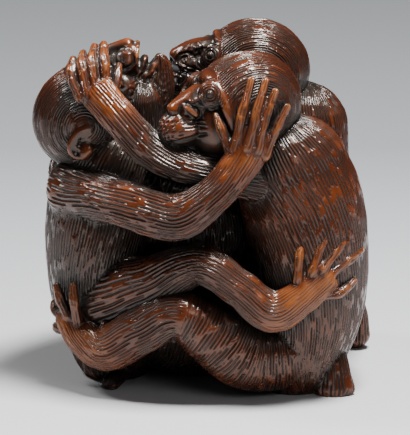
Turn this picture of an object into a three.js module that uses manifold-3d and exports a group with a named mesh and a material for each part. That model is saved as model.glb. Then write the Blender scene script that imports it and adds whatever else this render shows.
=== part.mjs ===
// Carved wooden netsuke: three seated monkeys embracing, worked from one block.
// Millimetres, +Z up, origin under the middle of the group on the surface it stands on.
// The left monkey faces +X; the right and rear monkeys sit side by side facing -X.
import * as THREE from "three";
import { mergeVertices } from "three/addons/utils/BufferGeometryUtils.js";
import Module from "manifold-3d";

const wasm = await Module();
wasm.setup();

// Driving dimensions
const SKULL = [5.5, 5.1, 5.1]; // half sizes forward, sideways and up
const MIDDLE_Y = 0.65; // the plane between the right and the rear monkey
const DIGIT = 0.48; // radius of a finger or toe
const HAIRLINE_SLOPE = 0.06; // lean of the hair's edge over the brow, in radians
const TORSO_SIDES = 12;
const LIMB_SIDES = 7;
const DIGIT_SIDES = 4;

// Head poses: middle of the skull ball, the way the muzzle points, and the crown's side
const LEFT_HEAD = { centre: [-11.8, -0.5, 25.8], forward: [0.56, 0, 0.83], crown: [-0.83, 0, 0.56] };
const RIGHT_HEAD = { centre: [4.5, -5.5, 28.6], forward: [-0.92, -0.3, -0.25], crown: [0, 0, 1] };
const REAR_HEAD = { centre: [5.4, 6.8, 29], forward: [-0.99, -0.05, 0.11], crown: [0, 0, 1] };

// Faces in the head's frame, forward, left and up: how far ahead the hair ends, the eyes' places, the nose's
// line, the muzzle's middle and half sizes, the lower jaw's and the open mouth's lines with half sizes
const LEFT_FACE = {
  hairline: 3.4,
  eye: [5.1, 1.9, 1.6],
  nose: [[4.8, 0, 2.3, 0.9], [7.0, 0, 2.0, 0.75], [8.7, 0, 0.8, 0.8]],
  muzzle: [[7.2, 0, 0.2], [2.3, 2.2, 1.5]],
  jaw: [
    [3.5, 0, -3.6, 2.9, 2.6],
    [6.8, 0, -3.2, 2.5, 1.5],
    [8.6, 0, -2.6, 1.6, 0.7],
    [9.3, 0, -2.2, 1.1, 0.45],
  ],
  gape: [[7.3, 0, -1.65, 2.9, 0.2], [10.8, 0, -0.75, 2.9, 1.4]],
};
const RIGHT_FACE = {
  hairline: 3.35,
  eye: [4.8, 1.95, 2.3],
  nose: [[4.9, 0, 3.1, 0.9], [6.4, 0, 2.7, 0.8], [7.6, 0, 1.8, 0.95]],
  muzzle: [[7.2, 0, 0.2], [2.5, 2.4, 2.0]],
  jaw: [[4.4, 0, -2.4, 2.6, 2.0], [6.0, 0, -2.2, 2.3, 1.5], [7.6, 0, -1.9, 1.7, 1.1]],
};
const REAR_FACE = {
  hairline: 4.5,
  eye: [5.0, 1.9, 1.7],
  nose: [[4.8, 0, 2.1, 0.85], [6.9, 0, 1.5, 0.75], [8.3, 0, 0.7, 0.85]],
  muzzle: [[7.1, 0, -0.8], [2.3, 2.2, 2.3]],
  jaw: [[4.0, 0, -3.2, 2.5, 2.2], [5.6, 0, -3.1, 2.3, 1.8], [7.2, 0, -2.9, 2.1, 1.8]],
  gape: [[8.4, 2.4, -0.7, 1.0, 1.0], [9.3, -0.4, -0.7, 0.8, 0.8]],
};

// Spines from rump to shoulders: x, y, z, half thickness front to back, half width
const LEFT_SPINE = [
  [-9.0, -0.3, 3.2, 4.6, 6.0],
  [-10.2, -0.4, 9, 5.4, 7.0],
  [-10.4, -0.5, 14, 5.6, 7.1],
  [-10.0, -0.5, 18.4, 5.5, 6.6],
  [-9.3, -0.5, 21.2, 5.2, 5.6],
];
const RIGHT_SPINE = [
  [9.0, -4.6, 3.2, 5.0, 6.2],
  [10.1, -4.8, 8.4, 5.8, 7.0],
  [10.2, -5, 14, 6.05, 7.0],
  [9.5, -5, 18.8, 6.1, 6.6],
  [8.5, -5.1, 22, 5.8, 5.6],
];
const REAR_SPINE = [
  [9.5, 6.2, 3.2, 5.1, 6.2],
  [10.1, 6.4, 8.4, 5.7, 7.0],
  [10.1, 6.6, 14, 5.7, 7.0],
  [9.6, 6.8, 19, 5.2, 6.2],
  [9.9, 7, 23.4, 4.55, 4.8],
];

// Arms and legs of the front, down to palm and foot: x, y, z, half thickness in depth, half width across
const LEFT_ARM = [
  [-12.8, -2.8, 19.3, 3.0, 3.2],
  [-8.4, -8.3, 19.5, 2.3, 2.3],
  [-2.6, -11.0, 18.7, 2.05, 2.35],
  [1.1, -11.4, 21.3, 1.7, 1.85],
  [3.9, -10.9, 24.7, 1.3, 1.95],
  [4.8, -10.8, 27.0, 0.75, 2.0],
];
const RIGHT_ARM = [
  [8.2, -7.2, 21.0, 2.6, 2.6],
  [4.0, -8.6, 21.9, 1.9, 2.0],
  [-0.8, -9.2, 22.9, 1.7, 1.7],
  [-5.2, -8.1, 24.6, 1.7, 1.85],
  [-8.3, -7.0, 27.6, 1.45, 1.8],
  [-10.6, -5.7, 30.0, 0.8, 1.9],
];
const LEFT_LEG = [
  [-9.4, -4.6, 8.4, 3.6, 4.0],
  [-5.4, -8.2, 11.0, 2.8, 3.0],
  [-0.4, -10.7, 13.8, 2.15, 2.05],
  [3.2, -11.8, 11.8, 1.9, 1.9],
  [6.6, -12.2, 9.4, 1.7, 2.1],
  [9.3, -12.0, 10.7, 1.3, 1.8],
  [11.7, -11.4, 12.8, 0.9, 1.8],
];
const RIGHT_LEG = [
  [10.0, -7.4, 4.2, 3.3, 3.6],
  [4.4, -9.6, 4.2, 3.2, 3.6],
  [0.5, -10.8, 6.9, 2.6, 3.1],
  [-2.9, -10.9, 8.7, 2.3, 2.4],
  [-6.4, -10.0, 6.8, 2.1, 2.4],
  [-9.9, -8.6, 4.6, 1.9, 2.3],
  [-12.2, -7.0, 5.6, 1.3, 1.9],
  [-13.5, -6.0, 7.4, 0.9, 1.6],
];

// The rear monkey's outer arm, its hand over the left monkey's far ear
const REAR_ARM = [
  [8.8, 8.4, 21.0, 2.6, 2.6],
  [4.6, 9.9, 21.8, 1.9, 2.0],
  [0.0, 10.5, 22.4, 1.7, 1.7],
  [-4.6, 9.5, 23.4, 1.7, 1.8],
  [-8.0, 7.5, 25.6, 1.4, 1.7],
  [-10.3, 6.0, 27.3, 0.8, 1.4],
];

// Arms the right and the rear monkey lay over each other's backs: half sizes outwards and across
const RIGHT_INNER_ARM = [
  [11.0, -1.9, 20.2, 1.8, 1.8],
  [13.9, 0.8, 17.5, 1.5, 1.6],
  [15.0, 3.0, 14.9, 1.1, 1.5],
  [15.4, 4.4, 13.3, 0.6, 1.5],
];
const REAR_INNER_ARM = [
  [11.4, 3.6, 18.4, 1.8, 1.8],
  [13.2, 2.0, 15.6, 1.5, 1.6],
  [14.3, 0.8, 13.2, 1.1, 1.5],
  [14.9, 0.0, 11.6, 0.6, 1.4],
];

// Digits from knuckle to tip
const LEFT_HAND = [
  [[2.4, -10.9, 25.4], [1.6, -10.6, 27.4], [1.1, -9.9, 28.7]],
  [[2.9, -11.2, 25.9], [3.65, -11.0, 29.0], [4.5, -9.7, 32.1]],
  [[4.1, -11.4, 26.2], [5.0, -11.1, 29.2], [5.9, -9.7, 32.0]],
  [[5.1, -11.3, 26.0], [5.8, -11.0, 28.6], [6.8, -10.1, 31.1]],
  [[5.9, -10.9, 25.2], [6.8, -10.7, 27.3], [8.0, -9.9, 29.5]],
];
const RIGHT_HAND = [
  [[-12.2, -5.6, 29.4], [-13.2, -4.9, 31.4], [-13.0, -3.2, 32.7]],
  [[-11.5, -5.8, 29.7], [-12.1, -4.8, 32.1], [-12.0, -2.8, 33.3]],
  [[-10.6, -5.8, 30.0], [-11.1, -4.7, 32.6], [-10.9, -2.4, 33.8]],
  [[-9.7, -5.7, 30.0], [-9.9, -4.6, 32.8], [-10.0, -2.2, 34.0]],
  [[-9.0, -5.6, 29.6], [-8.6, -4.9, 31.2], [-8.2, -3.8, 32.4]],
];
const REAR_HAND = [
  [[-10.3, 5.8, 28.2], [-11.6, 4.9, 29.2], [-12.8, 3.6, 29.5]],
  [[-10.9, 5.8, 27.6], [-12.3, 4.9, 28.4], [-13.6, 3.7, 28.6]],
  [[-11.1, 5.8, 26.9], [-12.8, 4.8, 27.4], [-14.1, 3.8, 27.6]],
  [[-11.1, 5.7, 26.2], [-12.7, 4.9, 26.4], [-14.0, 4.0, 26.5]],
];
const LEFT_TOES = [
  [[9.1, -12.1, 12.6], [9.2, -11.9, 14.7], [9.5, -11.3, 16.0]],
  [[10.5, -12.0, 13.4], [11.4, -11.3, 15.9], [12.6, -10.0, 17.8]],
  [[11.5, -11.8, 13.6], [13.0, -10.6, 15.4], [14.3, -8.9, 16.8]],
  [[12.3, -11.4, 13.0], [14.0, -10.0, 14.0], [15.4, -8.3, 14.6]],
  [[11.4, -11.8, 11.0], [13.3, -11.2, 11.1], [14.6, -9.9, 11.9]],
];
const RIGHT_TOES = [
  [[-12.6, -7.4, 7.2], [-12.9, -7.6, 9.2], [-13.0, -7.3, 10.6]],
  [[-13.5, -6.7, 7.4], [-14.3, -6.3, 8.9], [-14.7, -5.8, 10.2]],
  [[-14.0, -5.9, 6.8], [-14.8, -5.0, 7.5], [-15.0, -4.2, 8.0]],
  [[-13.6, -6.0, 5.6], [-14.6, -4.9, 5.6], [-14.9, -3.9, 5.6]],
  [[-10.6, -8.6, 5.2], [-10.1, -8.6, 6.4], [-9.9, -8.1, 7.1]],
];
const RIGHT_INNER_HAND = [
  [[15.4, 4.7, 14.0], [15.8, 6.0, 13.6], [15.8, 7.2, 13.3]],
  [[15.5, 4.9, 12.9], [15.9, 6.1, 12.1], [15.9, 7.3, 11.5]],
  [[15.3, 4.4, 12.0], [15.8, 5.2, 10.9], [15.8, 6.1, 10.0]],
];
const REAR_INNER_HAND = [
  [[14.9, -0.5, 11.9], [15.5, -1.5, 11.2], [15.7, -2.3, 10.7]],
  [[14.9, -0.1, 10.9], [15.3, -1.1, 9.7], [15.5, -1.8, 8.9]],
  [[14.7, 0.5, 10.5], [14.9, -0.2, 9.1], [15.1, -0.7, 8.2]],
];

// The left monkey's throat and bearded cheek, then the tails: x, y, z, half thickness, half width
const LEFT_THROAT = [
  [-7.4, -0.5, 21.0, 4.2, 3.6],
  [-6.4, -0.5, 24.4, 4.0, 2.5],
  [-6.25, -0.5, 28.0, 3.4, 2.2],
];
const RIGHT_TAIL = [
  [12.2, -7.2, 5.4, 1.5, 1.6],
  [12.7, -8.4, 2.7, 1.6, 1.3],
  [12.8, -9.0, 0.5, 2.1, 1.2],
];
const REAR_TAIL = [
  [14.6, 6.9, 6.6, 1.0, 1.0],
  [15.4, 7.2, 3.8, 1.15, 1.2],
  [15.5, 7.3, 1.4, 1.35, 1.4],
];
const LEFT_TAIL = [
  [-7.8, -3.8, 1.5, 1.0, 1.0],
  [-8.7, -5.8, 0.9, 0.9, 0.9],
  [-9.4, -7.0, 0.5, 0.9, 0.8],
];

// Solids
const identity = new THREE.Matrix4();

function solidOf(geometry) {
  const bare = new THREE.BufferGeometry();
  bare.setAttribute("position", geometry.getAttribute("position"));
  bare.setIndex(geometry.getIndex());
  const merged = mergeVertices(bare, 1e-5);
  return new wasm.Manifold(
    new wasm.Mesh({
      numProp: 3,
      vertProperties: new Float32Array(merged.getAttribute("position").array),
      triVerts: new Uint32Array(merged.getIndex().array),
    }),
  );
}

function join(pieces) {
  return pieces.reduce((whole, piece) => whole.add(piece));
}

// An ellipsoid in a frame: its middle and half sizes along the frame's axes
function blob(frame, middle, halves, around, rows) {
  const geometry = new THREE.SphereGeometry(1, around, rows);
  geometry.scale(halves[0], halves[1], halves[2]);
  geometry.translate(middle[0], middle[1], middle[2]);
  geometry.applyMatrix4(frame);
  return solidOf(geometry);
}

// A round-ended limb: a sphere's rows laid along a curve through stations of x, y, z and two half sizes.
// The first half size lies towards `depth`, the second across it. `caps` counts the rows of each round end.
function limb(stations, options = {}) {
  const { sides = LIMB_SIDES, rows = 6, caps = [2, 2], depth = [0, 1, 0], frame = identity } = options;
  const spine = new THREE.CatmullRomCurve3(stations.map(([x, y, z]) => new THREE.Vector3(x, y, z)));
  const girth = new THREE.CatmullRomCurve3(stations.map((s) => new THREE.Vector3(s[3], s[4] ?? s[3], 0)));
  const last = rows + caps[0] + caps[1];
  const geometry = new THREE.SphereGeometry(1, sides, last);
  const position = geometry.getAttribute("position");
  const hint = new THREE.Vector3(...depth);
  for (let row = 0; row <= last; row += 1) {
    const t = THREE.MathUtils.clamp((row - caps[0]) / rows, 0, 1);
    const beyond = Math.max((caps[0] - row) / caps[0], 1 - (last - row) / caps[1], 0);
    const end = row < caps[0] ? -1 : 1;
    const along = spine.getTangent(t);
    const thick = hint.clone().addScaledVector(along, -hint.dot(along)).normalize();
    const wide = new THREE.Vector3().crossVectors(thick, along);
    const size = girth.getPoint(t);
    const reach = end * Math.min(size.x, size.y) * Math.sin((beyond * Math.PI) / 2);
    const shrink = Math.cos((beyond * Math.PI) / 2);
    const middle = spine.getPoint(t).addScaledVector(along, reach);
    for (let side = 0; side <= sides; side += 1) {
      const angle = (side / sides) * 2 * Math.PI;
      const point = middle
        .clone()
        .addScaledVector(thick, Math.cos(angle) * size.x * shrink)
        .addScaledVector(wide, Math.sin(angle) * size.y * shrink);
      position.setXYZ(row * (sides + 1) + side, point.x, point.y, point.z);
    }
  }
  geometry.applyMatrix4(frame);
  return solidOf(geometry);
}

function digit(points) {
  const tapers = [1.15, 1, 0.85];
  const stations = points.map(([x, y, z], i) => [x, y, z, DIGIT * tapers[i]]);
  return limb(stations, { sides: DIGIT_SIDES, rows: 2, caps: [1, 2], depth: [0.5, 1, 0.1] });
}

function block(frame, middle, sizes) {
  const geometry = new THREE.BoxGeometry(...sizes);
  geometry.translate(...middle);
  geometry.applyMatrix4(frame);
  return solidOf(geometry);
}

// Heads, in a frame whose axes are forward, left and crown
function headFrame({ centre, forward, crown }) {
  const ahead = new THREE.Vector3(...forward).normalize();
  const left = new THREE.Vector3(...crown).cross(ahead).normalize();
  const up = new THREE.Vector3().crossVectors(ahead, left);
  return new THREE.Matrix4().makeBasis(ahead, left, up).setPosition(...centre);
}

function hairCap(frame, hairline) {
  const skull = blob(frame, [0.35, 0, 0.4], SKULL, 12, 7);
  const slope = new THREE.Matrix4().makeRotationY(HAIRLINE_SLOPE).setPosition(hairline, 0, 0);
  const faceSide = block(frame.clone().multiply(slope), [10, 0, 0], [20, 20, 30]);
  return skull.subtract(faceSide);
}

function face(frame, { eye, nose, muzzle, jaw, gape }) {
  const pieces = [
    blob(frame, [3.2, 0, -0.8], [3.9, 3.7, 4.1], 8, 6),
    limb(nose, { sides: 5, rows: 1, frame }),
    blob(frame, muzzle[0], muzzle[1], 8, 5),
    limb(jaw, { sides: 6, rows: jaw.length - 1, frame }),
  ];
  for (const side of [-1, 1]) {
    pieces.push(blob(frame, [eye[0], side * eye[1], eye[2]], [1.2, 1.4, 1.4], 6, 4));
  }
  const closed = join(pieces);
  return gape ? closed.subtract(limb(gape, { sides: 5, rows: 1, frame })) : closed;
}

function ear(frame, side) {
  const rim = new THREE.TorusGeometry(1.15, 0.36, 4, 6);
  rim.applyMatrix4(new THREE.Matrix4().makeRotationX(Math.PI / 2));
  rim.translate(-1.1, side * 4.85, -0.4);
  rim.applyMatrix4(frame);
  return solidOf(rim);
}

function head(pose, looks, ears = []) {
  const frame = headFrame(pose);
  return join([hairCap(frame, looks.hairline), face(frame, looks), ...ears.map((side) => ear(frame, side))]);
}

function torso(spine) {
  return limb(spine, { sides: TORSO_SIDES, rows: 5, depth: [1, 0, 0] });
}

// Mirrors stations or points to the rear side of the group
const behind = (rows) => rows.map(([x, y, z, ...sizes]) => [x, 2 * MIDDLE_Y - y, z, ...sizes]);

// The wood left between the bodies: behind the legs, behind the pockets at the waist, behind the arms
// and at the left monkey's throat
const heart = [
  blob(identity, [-1, MIDDLE_Y, 7], [9, 9.2, 7.6], 8, 6),
  blob(identity, [-1, MIDDLE_Y, 15], [8.5, 6.4, 6], 8, 5),
  blob(identity, [-0.5, MIDDLE_Y, 21.8], [6.8, 8.4, 4.8], 8, 5),
  limb(LEFT_THROAT, { sides: 8, rows: 2 }),
];

const pieces = [
  ...heart,
  torso(LEFT_SPINE),
  torso(RIGHT_SPINE),
  torso(REAR_SPINE),
  head(LEFT_HEAD, LEFT_FACE, [-1, 1]),
  head(RIGHT_HEAD, RIGHT_FACE),
  head(REAR_HEAD, REAR_FACE),
];
pieces.push(limb(RIGHT_ARM), limb(REAR_ARM));
for (const stations of [LEFT_ARM, LEFT_LEG, RIGHT_LEG]) {
  const rows = stations.length + 1;
  pieces.push(limb(stations, { rows }), limb(behind(stations), { rows }));
}
for (const stations of [RIGHT_INNER_ARM, REAR_INNER_ARM]) {
  pieces.push(limb(stations, { sides: 6, rows: 4, depth: [1, 0, 0] }));
}
for (const stations of [RIGHT_TAIL, REAR_TAIL, LEFT_TAIL]) {
  pieces.push(limb(stations, { sides: 5, rows: 2, depth: [1, 0, 0] }));
}
for (const points of [...LEFT_HAND, ...LEFT_TOES, ...RIGHT_TOES]) {
  pieces.push(digit(points), digit(behind(points)));
}
for (const points of [...RIGHT_HAND, ...REAR_HAND, ...RIGHT_INNER_HAND, ...REAR_INNER_HAND]) {
  pieces.push(digit(points));
}

// The group stands on a level cut
const underside = block(identity, [0, 0, -10], [60, 60, 20]);
const carving = join(pieces).subtract(underside);

// A named mesh with its box centred over the origin
function meshOf(name, made, material) {
  const { numProp, vertProperties, triVerts } = made.getMesh();
  const points = new Float32Array((vertProperties.length / numProp) * 3);
  for (let i = 0; i < points.length / 3; i += 1) {
    points.set(vertProperties.subarray(i * numProp, i * numProp + 3), i * 3);
  }
  const geometry = new THREE.BufferGeometry();
  geometry.setAttribute("position", new THREE.BufferAttribute(points, 3));
  geometry.setIndex(new THREE.BufferAttribute(new Uint32Array(triVerts), 1));
  geometry.computeBoundingBox();
  const { min, max } = geometry.boundingBox;
  geometry.translate(-(min.x + max.x) / 2, -(min.y + max.y) / 2, -min.z);
  geometry.computeVertexNormals();
  const mesh = new THREE.Mesh(geometry, material);
  mesh.name = name;
  return mesh;
}

const stainedWood = new THREE.MeshStandardMaterial({ color: 0x5a2c16, roughness: 0.35, metalness: 0 });
const netsuke = new THREE.Group();
netsuke.add(meshOf("three_monkeys", carving, stainedWood));

export default netsuke;
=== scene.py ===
import math

import bpy
import numpy as np
from mathutils import Matrix, Vector


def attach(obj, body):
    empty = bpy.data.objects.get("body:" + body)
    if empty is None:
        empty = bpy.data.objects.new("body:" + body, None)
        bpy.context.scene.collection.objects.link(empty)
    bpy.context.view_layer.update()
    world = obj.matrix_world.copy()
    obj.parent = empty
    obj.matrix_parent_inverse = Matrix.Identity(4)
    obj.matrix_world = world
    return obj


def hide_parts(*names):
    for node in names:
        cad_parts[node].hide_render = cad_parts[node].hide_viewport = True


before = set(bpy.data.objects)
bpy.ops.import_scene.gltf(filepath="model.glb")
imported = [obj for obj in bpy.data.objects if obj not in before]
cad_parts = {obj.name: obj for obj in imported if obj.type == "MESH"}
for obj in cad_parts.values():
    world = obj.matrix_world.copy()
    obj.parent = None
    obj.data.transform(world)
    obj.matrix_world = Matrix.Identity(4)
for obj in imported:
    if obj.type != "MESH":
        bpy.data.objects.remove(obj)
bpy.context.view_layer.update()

# Sizes are in millimetres on the table the group stands on, and turned into metres at the end
MM = 0.001
GROUP_MIDDLE = np.array([-0.078, 0.737, 0.0])  # the middle of the group's box, over the frame's origin
GRAIN = 0.094  # the size of a cell of the carved surface
MOST_TRIANGLES = 196000
SMOOTHING = 6

# The coat: lines cut side by side, each broken into strokes
HAIR_PITCH = 0.31
LIMB_PITCH = 0.34
HAIR_DEPTH = 0.095
HAIR_STROKE = 6.0
KNEE = 0.49  # share of the leg's length up to which the lines run across the thigh
LINE_SHARPNESS = 1.4

# Heads: middle of the skull, the way the muzzle points and the crown's side
SKULL = (5.5, 5.1, 5.1)
SKULL_MIDDLE = (0.35, 0.0, 0.4)
LEFT_HEAD = ((-11.8, -0.5, 25.8), (0.56, 0, 0.83), (-0.83, 0, 0.56))
RIGHT_HEAD = ((4.5, -5.5, 28.6), (-0.92, -0.3, -0.25), (0, 0, 1))
REAR_HEAD = ((5.4, 6.8, 29.0), (-0.99, -0.05, 0.11), (0, 0, 1))
HAIRLINE_SLOPE = 0.06

# Spines from rump to shoulders: x, y, z, half thickness front to back, half width
LEFT_SPINE = (
    (-9.0, -0.3, 3.2, 4.6, 6.0),
    (-10.2, -0.4, 9.0, 5.4, 7.0),
    (-10.4, -0.5, 14.0, 5.6, 7.1),
    (-10.0, -0.5, 18.4, 5.5, 6.6),
    (-9.3, -0.5, 21.2, 5.2, 5.6),
)
RIGHT_SPINE = (
    (9.0, -4.6, 3.2, 5.0, 6.2),
    (10.1, -4.8, 8.4, 5.8, 7.0),
    (10.2, -5.0, 14.0, 6.05, 7.0),
    (9.5, -5.0, 18.8, 6.1, 6.6),
    (8.5, -5.1, 22.0, 5.8, 5.6),
)
REAR_SPINE = (
    (9.5, 6.2, 3.2, 5.1, 6.2),
    (10.1, 6.4, 8.4, 5.7, 7.0),
    (10.1, 6.6, 14.0, 5.7, 7.0),
    (9.6, 6.8, 19.0, 5.2, 6.2),
    (9.9, 7.0, 23.4, 4.55, 4.8),
)

# Arms and legs down to palm and foot: x, y, z, half thickness in depth, half width across
LEFT_ARM = (
    (-12.8, -2.8, 19.3, 3.0, 3.2),
    (-8.4, -8.3, 19.5, 2.3, 2.3),
    (-2.6, -11.0, 18.7, 2.05, 2.35),
    (1.1, -11.4, 21.3, 1.7, 1.85),
    (3.9, -10.9, 24.7, 1.3, 1.95),
    (4.8, -10.8, 27.0, 0.75, 2.0),
)
RIGHT_ARM = (
    (8.2, -7.2, 21.0, 2.6, 2.6),
    (4.0, -8.6, 21.9, 1.9, 2.0),
    (-0.8, -9.2, 22.9, 1.7, 1.7),
    (-5.2, -8.1, 24.6, 1.7, 1.85),
    (-8.3, -7.0, 27.6, 1.45, 1.8),
    (-10.6, -5.7, 30.0, 0.8, 1.9),
)
LEFT_LEG = (
    (-9.4, -4.6, 8.4, 3.6, 4.0),
    (-5.4, -8.2, 11.0, 2.8, 3.0),
    (-0.4, -10.7, 13.8, 2.15, 2.05),
    (3.2, -11.8, 11.8, 1.9, 1.9),
    (6.6, -12.2, 9.4, 1.7, 2.1),
    (9.3, -12.0, 10.7, 1.3, 1.8),
    (11.7, -11.4, 12.8, 0.9, 1.8),
)
RIGHT_LEG = (
    (10.0, -7.4, 4.2, 3.3, 3.6),
    (4.4, -9.6, 4.2, 3.2, 3.6),
    (0.5, -10.8, 6.9, 2.6, 3.1),
    (-2.9, -10.9, 8.7, 2.3, 2.4),
    (-6.4, -10.0, 6.8, 2.1, 2.4),
    (-9.9, -8.6, 4.6, 1.9, 2.3),
    (-12.2, -7.0, 5.6, 1.3, 1.9),
    (-13.5, -6.0, 7.4, 0.9, 1.6),
)
REAR_ARM = (
    (8.8, 8.4, 21.0, 2.6, 2.6),
    (4.6, 9.9, 21.8, 1.9, 2.0),
    (0.0, 10.5, 22.4, 1.7, 1.7),
    (-4.6, 9.5, 23.4, 1.7, 1.8),
    (-8.0, 7.5, 25.6, 1.4, 1.7),
    (-10.3, 6.0, 27.3, 0.8, 1.4),
)
RIGHT_INNER_ARM = (
    (11.0, -1.9, 20.2, 1.8, 1.8),
    (13.9, 0.8, 17.5, 1.5, 1.6),
    (15.0, 3.0, 14.9, 1.1, 1.5),
    (15.4, 4.4, 13.3, 0.6, 1.5),
)
REAR_INNER_ARM = (
    (11.4, 3.6, 18.4, 1.8, 1.8),
    (13.2, 2.0, 15.6, 1.5, 1.6),
    (14.3, 0.8, 13.2, 1.1, 1.5),
    (14.9, 0.0, 11.6, 0.6, 1.4),
)

# Digits from knuckle to tip, with the swell of the joints
DIGIT = 0.55
DIGIT_SWELL = (1.15, 0.95, 1.05, 0.9, 0.7)
DIGIT_LINES = 8
LEFT_HAND = (
    ((2.4, -10.9, 25.4), (1.6, -10.6, 27.4), (1.1, -9.9, 28.7)),
    ((2.9, -11.3, 25.6), (3.65, -11.0, 29.0), (4.5, -9.7, 32.1)),
    ((4.1, -11.5, 25.8), (5.0, -11.1, 29.2), (5.9, -9.7, 32.0)),
    ((5.1, -11.4, 25.6), (5.8, -11.0, 28.6), (6.8, -10.1, 31.1)),
    ((5.8, -11.0, 24.9), (6.8, -10.7, 27.3), (8.0, -9.9, 29.5)),
)
RIGHT_HAND = (
    ((-12.2, -5.6, 29.4), (-13.2, -4.9, 31.4), (-13.0, -3.2, 32.7)),
    ((-11.5, -5.8, 29.7), (-12.1, -4.8, 32.1), (-12.0, -2.8, 33.3)),
    ((-10.6, -5.8, 30.0), (-11.1, -4.7, 32.6), (-10.9, -2.4, 33.8)),
    ((-9.7, -5.7, 30.0), (-9.9, -4.6, 32.8), (-10.0, -2.2, 34.0)),
    ((-9.0, -5.4, 29.4), (-8.7, -4.3, 30.9), (-8.5, -3.1, 32.0)),
)
REAR_HAND = (
    ((-10.3, 5.8, 28.2), (-11.6, 4.9, 29.2), (-12.8, 3.6, 29.5)),
    ((-10.9, 5.8, 27.6), (-12.3, 4.9, 28.4), (-13.6, 3.7, 28.6)),
    ((-11.1, 5.8, 26.9), (-12.8, 4.8, 27.4), (-14.1, 3.8, 27.6)),
    ((-11.1, 5.7, 26.2), (-12.7, 4.9, 26.4), (-14.0, 4.0, 26.5)),
)
LEFT_TOES = (
    ((9.1, -12.1, 12.6), (9.2, -11.9, 14.7), (9.5, -11.3, 16.0)),
    ((10.5, -12.0, 13.4), (11.4, -11.3, 15.9), (12.6, -10.0, 17.8)),
    ((11.5, -11.8, 13.6), (13.0, -10.6, 15.4), (14.3, -8.9, 16.8)),
    ((12.3, -11.4, 13.0), (14.0, -10.0, 14.0), (15.4, -8.3, 14.6)),
    ((11.4, -11.8, 11.0), (13.3, -11.2, 11.1), (14.6, -9.9, 11.9)),
)
RIGHT_TOES = (
    ((-12.6, -7.4, 7.2), (-12.9, -7.6, 9.2), (-13.0, -7.3, 10.6)),
    ((-13.5, -6.7, 7.4), (-14.3, -6.3, 8.9), (-14.7, -5.8, 10.2)),
    ((-14.0, -5.9, 6.8), (-14.8, -5.0, 7.5), (-15.0, -4.2, 8.0)),
    ((-13.6, -6.0, 5.6), (-14.6, -4.9, 5.6), (-14.9, -3.9, 5.6)),
    ((-10.6, -8.6, 5.2), (-10.1, -8.6, 6.4), (-9.9, -8.1, 7.1)),
)
RIGHT_INNER_HAND = (
    ((15.4, 4.7, 14.0), (15.8, 6.0, 13.6), (15.8, 7.2, 13.3)),
    ((15.5, 4.9, 12.9), (15.9, 6.1, 12.1), (15.9, 7.3, 11.5)),
    ((15.3, 4.4, 12.0), (15.8, 5.2, 10.9), (15.8, 6.1, 10.0)),
)
REAR_INNER_HAND = (
    ((14.9, -0.5, 11.9), (15.5, -1.5, 11.2), (15.7, -2.3, 10.7)),
    ((14.9, -0.1, 10.9), (15.3, -1.1, 9.7), (15.5, -1.8, 8.9)),
    ((14.7, 0.5, 10.5), (14.9, -0.2, 9.1), (15.1, -0.7, 8.2)),
)

# The left monkey's throat and bearded cheek, then the tails
LEFT_THROAT = (
    (-7.4, -0.5, 21.0, 4.2, 3.6),
    (-6.4, -0.5, 24.4, 4.0, 2.5),
    (-6.25, -0.5, 28.0, 3.4, 2.2),
)
RIGHT_TAIL = (
    (12.2, -7.2, 5.4, 1.5, 1.6),
    (12.7, -8.4, 2.7, 1.6, 1.3),
    (12.8, -9.0, 0.5, 2.1, 1.2),
)
REAR_TAIL = (
    (14.6, 6.9, 6.6, 1.0, 1.0),
    (15.4, 7.2, 3.8, 1.15, 1.2),
    (15.5, 7.3, 1.4, 1.35, 1.4),
)
LEFT_TAIL = (
    (-7.8, -3.8, 1.5, 1.0, 1.0),
    (-8.7, -5.8, 0.9, 0.9, 0.9),
    (-9.4, -7.0, 0.5, 0.9, 0.8),
)
MIDDLE_Y = 0.65

# The wood left between the bodies, middle and half sizes, and the left monkey's shoulders on both sides
BETWEEN = (
    ((-1, MIDDLE_Y, 7), (9, 9.2, 7.6)),
    ((-1, MIDDLE_Y, 15), (8.5, 6.4, 6)),
    ((-0.5, MIDDLE_Y, 21.8), (6.8, 8.4, 4.8)),
)
SHOULDER = (4.75, 4.8, 4.5)
SHOULDER_APART = 2.8

# Faces in the head's frame: ahead, left, up. A fold gives its radius, its wear and its points on the left.
# Worn and edge say how far the stain has worn off
LEFT_FACE = {
    "hairline": 3.4,
    "brim": 0.4,
    "cap_worn": 0.24,
    "edge": 0.15,
    "skin_worn": 0.2,
    "eye": (4.9, 1.9, 1.7),
    "nose": ((4.8, 0, 2.3, 0.9), (7.0, 0, 2.0, 0.8), (8.6, 0, 0.9, 0.8)),
    "muzzle": ((7.2, 0, 0.2), (2.3, 2.2, 1.5)),
    "jaw": (
        (3.5, 0, -3.6, 2.9, 2.6),
        (6.8, 0, -3.2, 2.5, 1.5),
        (8.6, 0, -2.6, 1.6, 0.7),
        (9.3, 0, -2.2, 1.1, 0.45),
    ),
    "gape": ((7.3, 0, -1.65, 2.9, 0.2), (8.5, 0, -1.3, 2.9, 0.7), (10.8, 0, -0.75, 2.9, 1.4)),
    "tongue": ((6.4, 0, -1.7, 1.3, 0.7), (7.8, 0, -1.45, 1.2, 0.55), (8.5, 0, -1.3, 0.9, 0.4)),
    "folds": (
        (
            0.28,
            0.5,
            (
                (9.3, 1.5, 0.1),
                (8.4, 1.95, -0.35),
                (7.3, 2.6, -1.0),
                (6.95, 2.75, -1.8),
                (7.6, 2.6, -2.4),
                (8.6, 2.0, -2.4),
            ),
        ),
        (0.22, 0.2, ((7.3, 1.8, 1.5), (6.4, 2.6, 0.6), (5.6, 3.1, -0.6))),
    ),
    "whorls": 0.06,
}
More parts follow.
